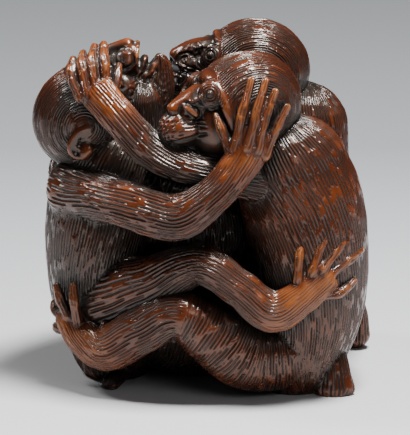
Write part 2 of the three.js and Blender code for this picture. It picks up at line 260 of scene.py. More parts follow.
RIGHT_FACE = {
    "hairline": 3.35,
    "brim": 0.55,
    "cap_worn": 0.25,
    "edge": 0.32,
    "skin_worn": 0.3,
    "eye": (4.1, 1.95, 3.0),
    "nose": ((4.6, 0, 2.9, 1.3, 1.0), (6.2, 0, 2.55, 1.3, 0.9), (7.5, 0, 2.1, 1.15, 0.85)),
    "muzzle": ((7.2, 0, 0.2), (2.6, 2.4, 1.9)),
    "jaw": ((4.4, 0, -2.4, 2.6, 2.0), (6.0, 0, -2.2, 2.3, 1.5), (7.6, 0, -1.9, 1.7, 1.1)),
    "folds": (
        (0.24, 0.35, ((5.2, 1.5, 3.3), (6.2, 1.45, 2.7), (7.1, 1.6, 1.8))),
        (0.25, 0.6, ((6.9, 2.3, 2.6), (6.5, 2.65, 2.1), (6.1, 2.85, 1.6))),
    ),
}
REAR_FACE = {
    "hairline": 4.5,
    "brim": 0.4,
    "cap_worn": 0.15,
    "edge": 0.2,
    "skin_worn": 0.08,
    "eye": (4.9, 1.9, 1.5),
    "nose": ((4.8, 0, 2.4, 1.6, 0.9), (6.9, 0, 1.85, 1.5, 0.85), (8.3, 0, 0.95, 1.2, 0.85)),
    "muzzle": ((7.1, 0, -0.8), (2.3, 2.2, 2.3)),
    "jaw": ((4.0, 0, -3.2, 2.5, 2.2), (5.6, 0, -3.1, 2.3, 1.8), (7.2, 0, -2.9, 2.1, 1.8)),
    "gape": ((8.2, 2.6, -0.7, 1.0, 1.0), (8.9, 1.0, -0.7, 1.0, 1.0), (9.4, -0.4, -0.7, 0.8, 0.8)),
    "tongue": ((6.6, 1.0, -1.1, 0.8, 0.4), (7.6, 1.0, -0.9, 0.8, 0.35), (8.5, 1.1, -0.8, 0.6, 0.3)),
    "folds": (
        (0.22, 0.2, ((5.2, 2.6, 2.6), (6.2, 1.9, 2.4), (6.6, 1.2, 2.2))),
        (0.22, 0.2, ((6.6, 1.6, 1.6), (7.4, 1.7, 0.9), (7.2, 2.2, 0.2))),
    ),
    "whorls": 0.085,
}
# The near ear's rim, from its front end over the top to the lobe: ahead, up
EAR_RIM = ((0.5, 0.1), (-0.35, 0.6), (-1.4, 0.65), (-2.25, 0.3), (-2.55, -0.5), (-2.15, -1.3), (-1.2, -1.4))
EAR_SIDE = 4.9
EAR_CURLS = ((1.0, 0.0, 0.33), (0.5, -0.45, 0.26))  # size of the rim, shift ahead, radius
EAR_LOBE = (0.95, 0.5, 0.65)

# Half sizes of the balls that fill a face
FACE = (3.9, 3.7, 4.1)
BROW = (1.3, 2.4, 1.2)
MIDDLE_FACE = (2.1, 2.25, 1.65)
EYE = (1.3, 1.4, 1.4)
CHEEK = (1.9, 1.6, 1.9)
NOSTRIL = (0.65, 0.45, 0.5)


# Lines and frames
def spline(knots, spots):
    """Points of the smooth line through the knots, at spots running from 0 to 1."""
    knots = np.asarray(knots, float)
    whole = np.vstack([2 * knots[0] - knots[1], knots, 2 * knots[-1] - knots[-2]])
    place = np.clip(spots, 0, 1) * (len(knots) - 1)
    span = np.minimum(place.astype(int), len(knots) - 2)
    w = (place - span)[:, None]
    p0, p1, p2, p3 = (whole[span + k] for k in range(4))
    pairs = ((p0, p1), (p1, p2), (p2, p3))
    d0, d1, d2 = (np.sqrt(np.linalg.norm(b - a, axis=1, keepdims=True)) for a, b in pairs)
    d1 = np.where(d1 < 1e-4, 1.0, d1)
    d0 = np.where(d0 < 1e-4, d1, d0)
    d2 = np.where(d2 < 1e-4, d1, d2)
    m1 = ((p1 - p0) / d0 - (p2 - p0) / (d0 + d1) + (p2 - p1) / d1) * d1
    m2 = ((p2 - p1) / d1 - (p3 - p1) / (d1 + d2) + (p3 - p2) / d2) * d1
    return p1 + m1 * w + (3 * (p2 - p1) - 2 * m1 - m2) * w**2 + (2 * (p1 - p2) + m1 + m2) * w**3


def unit(rows):
    return rows / np.linalg.norm(rows, axis=-1, keepdims=True)


def head_frame(pose):
    """A rotation whose columns point ahead, left and up, and the skull's middle."""
    centre, forward, crown = (np.array(v, float) for v in pose)
    ahead = unit(forward)
    left = unit(np.cross(crown, ahead))
    return np.column_stack([ahead, left, np.cross(ahead, left)]), centre


TABLE = (np.eye(3), np.zeros(3))


def behind(rows):
    """The same stations on the rear side of the group."""
    return tuple((r[0], 2 * MIDDLE_Y - r[1], *r[2:]) for r in rows)


def ramp(low, high, value):
    """A soft step from 0 at low to 1 at high."""
    x = np.clip((value - low) / (high - low), 0, 1)
    return x * x * (3 - 2 * x)


# Parts: a tube along a line, or a ball, each with its coat
def tube(stations, depth=(0, 1, 0), place=TABLE, comb="along", worn=0.0, **more):
    turn, centre = place
    full = np.array([tuple(s) + (s[3],) * (5 - len(s)) for s in stations], float)
    length = np.linalg.norm(np.diff(full[:, :3], axis=0), axis=1).sum()
    count = max(16, int(length / 0.35))
    spots = np.linspace(0, 1, count)
    line = spline(full[:, :3], spots)
    halves = spline(full[:, 3:5], spots)
    along = unit(np.gradient(line, axis=0))
    hint = np.array(depth, float)
    thick = unit(hint - (along @ hint)[:, None] * along)
    wide = np.cross(thick, along)
    steps = np.linalg.norm(np.diff(line, axis=0), axis=1)
    part = {
        "kind": "tube",
        "line": line @ turn.T + centre,
        "along": along @ turn.T,
        "thick": thick @ turn.T,
        "wide": wide @ turn.T,
        "halves": halves,
        "run": np.concatenate([[0], np.cumsum(steps)]),
        "comb": comb,
        "worn": worn,
    }
    part.update(more)
    return part


def ball(place, middle, halves, comb=None, worn=0.0, **more):
    turn, centre = place
    part = {
        "kind": "ball",
        "turn": turn,
        "middle": turn @ np.array(middle, float) + centre,
        "halves": np.array(halves, float),
        "comb": comb,
        "worn": worn,
    }
    part.update(more)
    return part


def digit(points, **more):
    bends = spline(points, np.linspace(0, 1, len(DIGIT_SWELL)))
    stations = [(*p, DIGIT * k) for p, k in zip(bends, DIGIT_SWELL)]
    return tube(stations, depth=(0.5, 1, 0.1), comb="digit", worn=0.55, **more)


def box_of(part):
    reach = part["halves"].max()
    if part["kind"] == "tube":
        return part["line"].min(0) - reach, part["line"].max(0) + reach
    return part["middle"] - reach, part["middle"] + reach


def measure(part, points):
    """How far points lie outside a part, and where they lie on it.

    The place is the run along, the turn round and the share of the length. On a cap the last is the distance
    behind the hairline.
    """
    if part["kind"] == "ball":
        local = (points - part["middle"]) @ part["turn"]
        scaled = local / part["halves"]
        reach = np.maximum(np.linalg.norm(scaled, axis=1), 1e-6)
        out = np.linalg.norm(local, axis=1) * (1 - 1 / reach)
        behind_edge = np.zeros(len(points))
        if part["comb"] == "cap":
            ahead = local[:, 0] + SKULL_MIDDLE[0]
            up = local[:, 2] + SKULL_MIDDLE[2]
            behind_edge = part["hairline"] + HAIRLINE_SLOPE * up - ahead
            out = np.maximum(out, -behind_edge)
        side = np.arcsin(np.clip(scaled[:, 1] / reach, -1, 1))
        over = np.arctan2(scaled[:, 0], scaled[:, 2])
        return out, over * part["halves"][0], side, behind_edge
    line = part["line"]
    square = (points**2).sum(1)[:, None] - 2 * points @ line.T + (line**2).sum(1)[None, :]
    nearest = square.argmin(1)
    away = points - line[nearest]
    ahead = (away * part["along"][nearest]).sum(1)
    half_step = part["run"][-1] / (len(line) - 1) / 2
    beyond = ahead - np.clip(ahead, -half_step, half_step)
    halves = part["halves"][nearest]
    a = (away * part["thick"][nearest]).sum(1)
    b = (away * part["wide"][nearest]).sum(1)
    small = halves.min(1)
    reach = np.sqrt((a / halves[:, 0]) ** 2 + (b / halves[:, 1]) ** 2 + (beyond / small) ** 2)
    out = np.sqrt(a**2 + b**2 + beyond**2) * (1 - 1 / np.maximum(reach, 1e-6))
    turn = np.arctan2(b / halves[:, 1], a / halves[:, 0])
    return out, part["run"][nearest] + ahead, turn, part["run"][nearest] / part["run"][-1]


def near_part(part, points, margin):
    low, high = box_of(part)
    return np.flatnonzero(((points > low - margin) & (points < high + margin)).all(1))


def outside(parts, points, margin):
    """How far points lie outside all the parts together."""
    least = np.full(len(points), margin)
    for part in parts:
        near = near_part(part, points, margin)
        if near.size:
            least[near] = np.minimum(least[near], measure(part, points[near])[0])
    return least


# Meshes
def deselect():
    bpy.ops.object.select_all(action="DESELECT")


def activate(piece):
    deselect()
    piece.select_set(True)
    bpy.context.view_layer.objects.active = piece


def tidy_up(piece):
    activate(piece)
    bpy.ops.object.mode_set(mode="EDIT")
    bpy.ops.mesh.select_all(action="SELECT")
    bpy.ops.mesh.remove_doubles(threshold=0.0005)
    bpy.ops.mesh.normals_make_consistent(inside=False)
    bpy.ops.object.mode_set(mode="OBJECT")


CAP_ROWS = 7


def tube_mesh(part):
    """A grid rolled round the part's line, with round ends."""
    sides = 40 if part["halves"].max() > 3 else 26 if part["halves"].max() > 1 else 16
    line, along, halves = part["line"], part["along"], part["halves"]
    rings = []
    for k in range(CAP_ROWS):
        bow = (CAP_ROWS - k) / CAP_ROWS * math.pi / 2
        rings.append((0, -math.sin(bow), math.cos(bow)))
    rings += [(i, 0.0, 1.0) for i in range(len(line))]
    for k in range(1, CAP_ROWS + 1):
        bow = k / CAP_ROWS * math.pi / 2
        rings.append((len(line) - 1, math.sin(bow), math.cos(bow)))
    index = np.array([r[0] for r in rings])
    reach = np.array([r[1] for r in rings])[:, None]
    shrink = np.array([r[2] for r in rings])[:, None]
    middle = line[index] + along[index] * reach * halves[index].min(1)[:, None]
    angle = np.linspace(0, 2 * math.pi, sides + 1)
    grid = (
        middle[:, None, :]
        + part["thick"][index][:, None, :] * (halves[index, :1] * shrink * np.cos(angle))[:, :, None]
        + part["wide"][index][:, None, :] * (halves[index, 1:] * shrink * np.sin(angle))[:, :, None]
    )
    deselect()
    bpy.ops.mesh.primitive_grid_add(x_subdivisions=sides, y_subdivisions=len(rings) - 1, size=1)
    piece = bpy.context.object
    piece.data.vertices.foreach_set("co", grid.astype(np.float32).ravel())
    tidy_up(piece)
    return piece


def ball_mesh(part):
    deselect()
    bpy.ops.mesh.primitive_uv_sphere_add(segments=48, ring_count=24, radius=1)
    piece = bpy.context.object
    place = Matrix(part["turn"].tolist()).to_4x4()
    place.translation = Vector(part["middle"])
    piece.data.transform(place @ Matrix.Diagonal((*part["halves"], 1)))
    return piece


def cut_away(piece, tool):
    """Cuts the tool's form out of the piece."""
    activate(piece)
    cut = piece.modifiers.new("cut", "BOOLEAN")
    cut.operation = "DIFFERENCE"
    cut.solver = "EXACT"
    cut.object = tool
    bpy.ops.object.modifier_apply(modifier=cut.name)
    bpy.data.objects.remove(tool)


def grow_together(piece, cell):
    """Makes one closed skin of overlapping forms."""
    activate(piece)
    piece.data.remesh_voxel_size = cell
    piece.data.use_remesh_fix_poles = False
    piece.data.use_remesh_preserve_volume = False
    bpy.ops.object.voxel_remesh()


def cap_mesh(part):
    """The cap of hair: a skull ball cut at the hairline."""
    piece = ball_mesh(part)
    turn, middle = part["turn"], part["middle"]
    origin = middle - turn @ np.array(SKULL_MIDDLE)
    normal = turn @ unit(np.array([1.0, 0, -HAIRLINE_SLOPE]))
    activate(piece)
    bpy.ops.object.mode_set(mode="EDIT")
    bpy.ops.mesh.select_all(action="SELECT")
    bpy.ops.mesh.bisect(
        plane_co=tuple(origin + turn @ np.array([part["hairline"], 0, 0])),
        plane_no=tuple(normal),
        use_fill=True,
        clear_outer=True,
    )
    bpy.ops.object.mode_set(mode="OBJECT")
    return piece


def join(pieces):
    deselect()
    for piece in pieces:
        piece.select_set(True)
    bpy.context.view_layer.objects.active = pieces[0]
    bpy.ops.object.join()
    return pieces[0]


def apply(piece, kind, **settings):
    activate(piece)
    change = piece.modifiers.new(kind.lower(), kind)
    for key, value in settings.items():
        setattr(change, key, value)
    bpy.ops.object.modifier_apply(modifier=change.name)


def mesh_of(part):
    if part["kind"] == "tube":
        return tube_mesh(part)
    if part["comb"] == "cap":
        return cap_mesh(part)
    return ball_mesh(part)


# The parts of each monkey
def brim_line(looks):
    """The rolled edge of the hair, over the brow from cheek to cheek."""
    ahead = looks["hairline"] - 0.1
    reach = SKULL[1] * math.sqrt(1 - ((ahead - SKULL_MIDDLE[0]) / SKULL[0]) ** 2) - looks["brim"] + 0.1
    line = []
    for angle in np.radians(np.linspace(-118, 118, 15)):
        up = SKULL_MIDDLE[2] + reach * math.cos(angle)
        line.append((ahead + HAIRLINE_SLOPE * up, reach * math.sin(angle), up, looks["brim"]))
    return line


FOLD_REACH, FOLD_STEPS = 4.5, 91


def settled(parts, place, points, radius):
    """Stations of a fold, sunk into the cheek so that it stands half out of the wood."""
    turn, centre = place
    stations = []
    for f, l, u in points:
        across = np.linspace(0, FOLD_REACH, FOLD_STEPS)
        line = np.column_stack([np.full(FOLD_STEPS, f), np.copysign(across, l), np.full(FOLD_STEPS, u)])
        inside = np.flatnonzero(outside(parts, line @ turn.T + centre, 1.0) < 0)
        depth = across[inside[-1]] if inside.size else abs(l)
        stations.append((f, math.copysign(depth, l), u, radius))
    return stations


def head_parts(pose, looks, ears):
    place = head_frame(pose)
    ex, ey, ez = looks["eye"]
    tip = looks["nose"][-1]
    hair_worn, edge, skin_worn = looks["cap_worn"], looks["edge"], looks["skin_worn"]
    parts = [
        ball(place, SKULL_MIDDLE, SKULL, comb="cap", worn=hair_worn, hairline=looks["hairline"], edge=edge),
        ball(place, (3.2, 0, -0.8), FACE, comb="skin", worn=skin_worn),
        tube(looks["nose"], place=place, comb="skin", worn=skin_worn + 0.1),
        tube(looks["jaw"], depth=(0, 0, -1), place=place, comb="jaw", worn=0.25),
        ball(place, *looks["muzzle"], comb="skin", worn=skin_worn + 0.1),
        ball(place, (ex - 0.9, 0, ez + 0.7), BROW, comb="skin", worn=0.2),
        ball(place, (ex + 1.3, 0, ez - 1.2), MIDDLE_FACE, comb="skin", worn=skin_worn),
        tube(brim_line(looks), depth=(1, 0, 0), place=place, comb="skin", worn=hair_worn + edge),
    ]
    for side in (-1, 1):
        nostril = (tip[0] - 0.3, side * 0.75, tip[2] - 0.4)
        parts.append(ball(place, (ex, side * ey, ez), EYE, comb="skin", worn=skin_worn))
        parts.append(ball(place, (ex - 0.2, side * 1.7, ez - 2.6), CHEEK, comb="skin", worn=skin_worn))
        parts.append(ball(place, nostril, NOSTRIL, comb="skin", worn=0.3))
    bare_face = parts[1:]
    for side in (-1, 1):
        for radius, worn, points in looks["folds"]:
            line = settled(bare_face, place, [(f, side * l, u) for f, l, u in points], radius)
            parts.append(tube(line, depth=(0, 1, 0.3), place=place, comb="skin", worn=worn, late=True))
    if "tongue" in looks:
        parts.append(tube(looks["tongue"], place=place, comb="skin", worn=0.1, late=True))
    for side in ears:
        for size, shift, radius in EAR_CURLS:
            rim = [(size * f + shift, side * EAR_SIDE, size * u, radius) for f, u in EAR_RIM]
            parts.append(tube(rim, depth=(0, 1, 0), place=place, comb="skin", worn=0.25))
        parts.append(ball(place, (-1.6, side * EAR_SIDE, -1.2), EAR_LOBE, comb="skin", worn=0.3))
    return parts


NEAR, FAR = (0, -1, 0), (0, 1, 0)
left_head = head_parts(LEFT_HEAD, LEFT_FACE, (-1, 1))
left_body = [
    tube(LEFT_SPINE, depth=(-1, 0, 0), comb="fan", worn=0.17),
    # Painted shade: the wood between the bodies gets less than no wear, so the deep pockets come out near
    # black.
    *[ball(TABLE, middle, halves, comb="plain", worn=-0.2) for middle, halves in BETWEEN],
    ball(TABLE, (-10.6, MIDDLE_Y - SHOULDER_APART, 18.2), SHOULDER, comb="plain", worn=0.17),
    ball(TABLE, (-10.6, MIDDLE_Y + SHOULDER_APART, 18.2), SHOULDER, comb="plain", worn=0.17),
    tube(LEFT_THROAT, depth=NEAR, worn=0.15),
    tube(LEFT_TAIL, depth=(1, 0, 0), worn=0.0),
]
for side, outwards in ((tuple, NEAR), (behind, FAR)):
    left_body.append(tube(side(LEFT_ARM), depth=outwards, bare=0.85, worn=0.36))
    left_body.append(tube(side(LEFT_LEG), depth=outwards, bare=0.8, worn=0.36))
    for points in LEFT_HAND + LEFT_TOES:
        left_body.append(digit(side(points)))

right_head = head_parts(RIGHT_HEAD, RIGHT_FACE, ())
right_body = [
    tube(RIGHT_SPINE, depth=(1, 0, 0), comb="fan", worn=0.42),
    tube(RIGHT_ARM, depth=NEAR, bare=0.85, worn=0.36),
    tube(RIGHT_LEG, depth=NEAR, comb="haunch", bare=0.84, worn=0.38),
    tube(RIGHT_INNER_ARM, depth=(1, 0, 0), bare=0.8, worn=0.25),
    tube(RIGHT_TAIL, depth=(1, 0, 0), worn=0.3),
]
for points in RIGHT_HAND + RIGHT_TOES + RIGHT_INNER_HAND:
    right_body.append(digit(points))

rear_head = head_parts(REAR_HEAD, REAR_FACE, ())
rear_body = [
    tube(REAR_SPINE, depth=(1, 0, 0), comb="fan", worn=0.3),
    tube(REAR_ARM, depth=FAR, bare=0.85, worn=0.36),
    tube(behind(RIGHT_LEG), depth=FAR, comb="haunch", bare=0.84, worn=0.35),
    tube(REAR_INNER_ARM, depth=(1, 0, 0), bare=0.8, worn=0.25),
    tube(REAR_TAIL, depth=(1, 0, 0), worn=0.4),
]
for points in REAR_HAND + REAR_INNER_HAND + tuple(behind(p) for p in RIGHT_TOES):
    rear_body.append(digit(points))

MONKEYS = {
    "left_monkey": (left_head, left_body),
    "right_monkey": (right_head, right_body),
    "rear_monkey": (rear_head, rear_body),
}
EVERY_PART = [part for head, body in MONKEYS.values() for part in head + body]
HEADS = {
    "left_monkey": (LEFT_HEAD, LEFT_FACE),
    "right_monkey": (RIGHT_HEAD, RIGHT_FACE),
    "rear_monkey": (REAR_HEAD, REAR_FACE),
}


# The cut of the coat
def chance(number, seed):
    """An even, repeatable number from 0 to 1 for each whole number."""
    return np.mod(np.abs(np.sin(number * 12.9898 + seed * 78.233) * 43758.5453), 1.0)


def sway(points, size, seed):
    """A gentle wave through the wood, from about -1 to 1."""
    picks = np.random.default_rng(seed)
    total = np.zeros(len(points))
    for _ in range(4):
        way = unit(picks.normal(size=3)) * 2 * math.pi / (size * picks.uniform(0.7, 1.4))
        total += np.sin(points @ way + picks.uniform(0, 6.28))
    return total / 2.4


def hair(across, run, length, seed, around=None):
    """Where points lie across the lines, and how deeply each line is cut there, in strokes."""
    line = np.round(across)
    key = line if around is None else np.mod(line, around)
    stretch = length * (0.7 + 0.6 * chance(key, seed))
    beat = 0.5 + 0.5 * np.cos(2 * math.pi * (run / stretch + chance(key, seed + 1)))
    return across, ramp(0.02, 0.2, beat) * (0.65 + 0.35 * chance(key, seed + 2))


def coat(part, points, run, turn, spot, seed):
    """Hair of one part: the place across the lines, their depth, and the creases of a digit."""
    comb = part["comb"]
    none = np.zeros(len(points))
    wobble = 0.28 * sway(points, 6.0, 11) + 0.05 * sway(points, 2.0, 12)
    if comb in ("along", "jaw"):
        count = round(2 * math.pi * part["halves"].mean() / LIMB_PITCH)
        across, depth = hair(turn * count / (2 * math.pi) + wobble, run, HAIR_STROKE, seed, count)
    elif comb == "fan":
        count = 2 * math.pi * part["halves"].mean() / HAIR_PITCH
        down = part["run"][-1] - run
        spread = turn * count / (2 * math.pi) * (0.75 + 0.02 * down)
        across, depth = hair(spread + wobble, run, HAIR_STROKE * 0.7, seed)
    elif comb == "haunch":
        count = round(2 * math.pi * 2.3 / LIMB_PITCH)
        thigh = hair(run / HAIR_PITCH + 5 * turn / (2 * math.pi) + wobble, turn * 3, 4.0, seed)
        shin = hair(turn * count / (2 * math.pi) + wobble, run, HAIR_STROKE, seed, count)
        above = spot < KNEE
        across = np.where(above, thigh[0], shin[0])
        depth = np.where(above, thigh[1] * ramp(KNEE, 0.46, spot), shin[1] * ramp(KNEE, 0.52, spot))
    elif comb == "cap":
        count = part["halves"][1] / (HAIR_PITCH * 0.85)
        across, depth = hair(turn * count + 0.4 * wobble, run, HAIR_STROKE * 2, seed)
        depth = depth * ramp(0.2, 1.0, spot) * ramp(1.45, 1.2, np.abs(turn))
    elif comb == "plain":
        slant = 0.9 * points[:, 0] + 0.4 * points[:, 1]
        across, depth = hair(slant / HAIR_PITCH + wobble, points[:, 2], 3.0, seed)
    elif comb == "digit":
        joints = sum(np.exp(-(((spot - joint) / 0.025) ** 2)) for joint in (0.5, 0.55, 0.8))
        across, depth = hair(turn * DIGIT_LINES / (2 * math.pi) + wobble, run, 2.5, seed, DIGIT_LINES)
        return across, 0.5 * depth, 0.4 * joints * (0.5 + 0.5 * np.cos(turn * 3 + seed))
    else:
        return none, none, none
    if "bare" in part:
        depth = depth * (1 - 0.45 * ramp(part["bare"] - 0.1, part["bare"] + 0.08, spot))
    return across, depth, none


def wear(part, spot):
    """How far the stain has worn through on one part."""
    if "bare" in part:
        return part["worn"] + 0.45 * ramp(part["bare"] - 0.2, part["bare"] + 0.1, spot)
    if "edge" in part:
        return part["worn"] + part["edge"] * ramp(1.1, 0.3, spot)
    return np.full(len(spot), part["worn"])


def coat_of(head, body, others, points):
    """The coat at every point; points inside a neighbour stay plain."""
    best = np.full(len(points), 9.0)
    second = np.full(len(points), 9.0)
    lay = {key: np.zeros(len(points)) for key in ("across", "hair", "crease", "worn", "along", "face")}
    for number, part in enumerate(head + body):
        near = near_part(part, points, 0.8)
        if not near.size:
            continue
        out, run, turn, spot = measure(part, points[near])
        closer = out < best[near]
        second[near] = np.where(closer, best[near], np.minimum(second[near], out))
        won = near[closer]
        best[won] = out[closer]
        found = coat(part, points[won], run[closer], turn[closer], spot[closer], number)
        found += (wear(part, spot[closer]), run[closer] + 7.0 * number, 0 < number < len(head))
        for key, values in zip(lay, found):
            lay[key][won] = values
    open_air = ramp(-0.25, -0.05, outside(others, points, 1.0))
    lay["hair"] *= ramp(0.0, 0.2, second - best) * open_air
    lay["crease"] *= open_air
    lay["face"] *= open_air
    return lay, open_air


def vertices_of(piece):
    count = len(piece.data.vertices)
    points = np.empty(count * 3, np.float32)
    piece.data.vertices.foreach_get("co", points)
    normals = np.empty(count * 3, np.float32)
    piece.data.vertex_normals.foreach_get("vector", normals)
    return points.reshape(-1, 3).astype(float), normals.reshape(-1, 3).astype(float)


def neighbours_mean(piece, values, rounds):
    """Values smoothed along the edges."""
    edges = np.empty(len(piece.data.edges) * 2, np.int32)
    piece.data.edges.foreach_get("vertices", edges)
    a, b = edges.reshape(-1, 2).T
    count = np.bincount(a, minlength=len(values)) + np.bincount(b, minlength=len(values))
    count = np.maximum(count, 1)
    for _ in range(rounds):
        total = np.bincount(a, values[b], len(values)) + np.bincount(b, values[a], len(values))
        values = 0.5 * values + 0.5 * total / count
    return values


def ring(away, middle, width):
    """A soft groove at one distance."""
    return np.exp(-(((away - middle) / width) ** 2))


def whorls(points, cell, seed):
    """How far each point lies from the nearest of many scattered middles."""
    base = np.floor(points / cell)
    least = np.full(len(points), 9.0)
    for step in np.ndindex(3, 3, 3):
        corner = base + np.array(step) - 1
        key = corner @ np.array([1.0, 57.0, 113.0])
        middle = (corner + np.column_stack([chance(key, seed + k) for k in range(3)])) * cell
        least = np.minimum(least, np.linalg.norm(points - middle, axis=1))
    return least


def face_cuts(points, pose, looks):
    """Depth and darkness of the face's cuts: rings round the eyes, nostrils, lips, wrinkles and stubble."""
    turn, centre = head_frame(pose)
    f, l, u = ((points - centre) @ turn).T
    side = np.abs(l)
    ex, ey, ez = looks["eye"]
    tip = looks["nose"][-1]
    muzzle_middle, muzzle_halves = looks["muzzle"]
    mu, hu = muzzle_middle[2], muzzle_halves[2]
    pupil = np.sqrt((f - ex - 0.4) ** 2 + (side - ey - 1.05) ** 2 + (u - ez - 0.45) ** 2)
    shaken = pupil + 0.04 * sway(points, 1.2, 41)
    cut = 0.14 * ring(pupil, 0.42, 0.09) - 0.1 * ramp(0.35, 0.15, pupil)
    dark = 0.9 * ramp(0.4, 0.25, pupil)
    for step in range(1, 6):
        cut += (0.12 - 0.01 * step) * ring(shaken, 0.42 + 0.28 * step, 0.085)
    nostril = np.sqrt((f - tip[0] - 0.65) ** 2 + (side - 0.42) ** 2 + (u - tip[2] + 0.45) ** 2)
    cut += 0.35 * ring(nostril, 0, 0.24)
    fold = np.sqrt((f - tip[0] + 0.9) ** 2 + (u - tip[2] + 0.3) ** 2)
    cut += 0.14 * ring(fold, 0.95, 0.13) * (side > 0.7) * ramp(tip[0] + 0.3, tip[0] - 0.3, f)
    if "gape" not in looks:
        line = mu - hu * 0.5 + 0.12 * side
        cut += 0.2 * ring(u, line, 0.15) * ramp(5.4, 6.2, f)
        # Below the mouth line the face is painted darker.
        dark += 0.6 * ramp(0.0, -0.25, u - line) * ramp(5.4, 6.2, f)
        grid = np.floor(np.column_stack([l, u]) / 0.4)
        key = grid @ np.array([57.0, 1.0])
        spot = (grid + 0.25 + 0.5 * np.column_stack([chance(key, 5), chance(key, 6)])) * 0.4
        dots = ring(np.hypot(l - spot[:, 0], u - spot[:, 1]), 0, 0.1)
        cut += 0.13 * dots * ramp(7.6, 8.2, f) * ramp(-0.6, -0.2, u - mu) * ramp(1.7, 1.4, u - mu)
    for step in range(3):
        crease = u - (mu + 0.1 + step * 0.4) - 0.2 * (f - 6.0)
        cut += 0.11 * ring(crease, 0, 0.09) * ramp(5.4, 5.9, f) * ramp(7.9, 7.5, f) * ramp(1.2, 1.6, side)
    dark += 0.8 * np.clip(cut / 0.12, 0, 1)
    if "whorls" in looks:
        curl = 0.5 + 0.5 * np.cos(2 * math.pi * whorls(points, 1.5, 3) / 0.42)
        curl *= ramp(0.8, 1.2, pupil) * ramp(0.5, 1.0, side)
        cut += looks["whorls"] * curl
        dark += 0.35 * curl
    on_face = ramp(looks["hairline"] - 0.1, looks["hairline"] + 0.3, f)
    return cut * on_face, dark * on_face


def carve(name):
    """One monkey's skin: its parts grown together, cut with hair and face lines, and marked for the stain and
    the painted shade.
    """
    head, body = MONKEYS[name]
    others = [p for key, group in MONKEYS.items() if key != name for p in group[0] + group[1]]
    pose, looks = HEADS[name]
    place = head_frame(pose)
    skull = join([mesh_of(part) for part in head if "late" not in part])
    if "gape" in looks:
        grow_together(skull, max(GRAIN, 0.12))
        cut_away(skull, tube_mesh(tube(looks["gape"], place=place)))
    late = [mesh_of(part) for part in head if "late" in part]
    piece = join([skull] + late + [mesh_of(part) for part in body])
    piece.name = name
    piece.data.name = name
    grow_together(piece, GRAIN)
    apply(piece, "SMOOTH", factor=0.5, iterations=SMOOTHING)
    points, normals = vertices_of(piece)
    lay, open_air = coat_of(head, body, others, points)
    lines = lay["hair"] * ((1 + np.cos(2 * math.pi * lay["across"])) / 2) ** LINE_SHARPNESS
    cuts = HAIR_DEPTH * (lines + lay["crease"]) + face_cuts(points, pose, looks)[0] * lay["face"]
    swell = 0.03 * sway(points, 2.2, 31) * open_air
    moved = points + normals * (swell - cuts)[:, None]
    moved[:, 2] = np.maximum(moved[:, 2], 0)
    piece.data.vertices.foreach_set("co", moved.astype(np.float32).ravel())
    piece.data.update()
    piece.data.calc_loop_triangles()
    share = MOST_TRIANGLES / len(piece.data.loop_triangles)
    if share < 1:
        apply(piece, "DECIMATE", ratio=share, use_collapse_triangulate=True)
    points, normals = vertices_of(piece)
    lay, open_air = coat_of(head, body, others, points)
    soft = np.column_stack([neighbours_mean(piece, points[:, k], 25) for k in range(3)])
    # Painted shade: how closely the other parts crowd each point, which darkens the colour there.
    painted_shade = np.zeros(len(points))
    for reach in (0.8, 2.4):
        clear = outside(EVERY_PART, points + normals * reach, reach)
        painted_shade += 0.5 * np.clip(1 - clear / reach, 0, 1)
    marks = {
        "across": lay["across"],
        "along": lay["along"],
        "hair": lay["hair"],
        "groove": np.clip(lay["crease"] + face_cuts(points, pose, looks)[1] * lay["face"], 0, 1),
        "worn": lay["worn"],
        "bulge": ((points - soft) * normals).sum(1),
        "painted_shade": painted_shade,
    }
    for key, values in marks.items():
        piece.data.attributes.new(key, "FLOAT", "POINT").data.foreach_set("value", values.astype(np.float32))
    points = (points - GROUP_MIDDLE) * MM
    piece.data.vertices.foreach_set("co", points.astype(np.float32).ravel())
    piece.data.update()
    activate(piece)
    bpy.ops.object.shade_smooth()
    return piece


# The stain from the darkest to the most worn, its tone in the cuts, and the painted shade laid into crowded
# corners.
# Its patches and the streaks along the hair give their fineness, detail and reach
STAIN = (
    (0.0, (0.011, 0.0046, 0.0028)),
    (0.4, (0.053, 0.0115, 0.0037)),
    (0.7, (0.118, 0.0272, 0.007)),
    (1.0, (0.225, 0.068, 0.0175)),
)
CUT_TONE = (0.005, 0.003, 0.0022)
# The near-black colour of the painted shade in crowded corners.
PAINTED_SHADE_TONE = (0.005, 0.003, 0.0025)
PATCHES = (160, 1, 0.6)
STREAKS = (0.4, 1.5, 0.3)


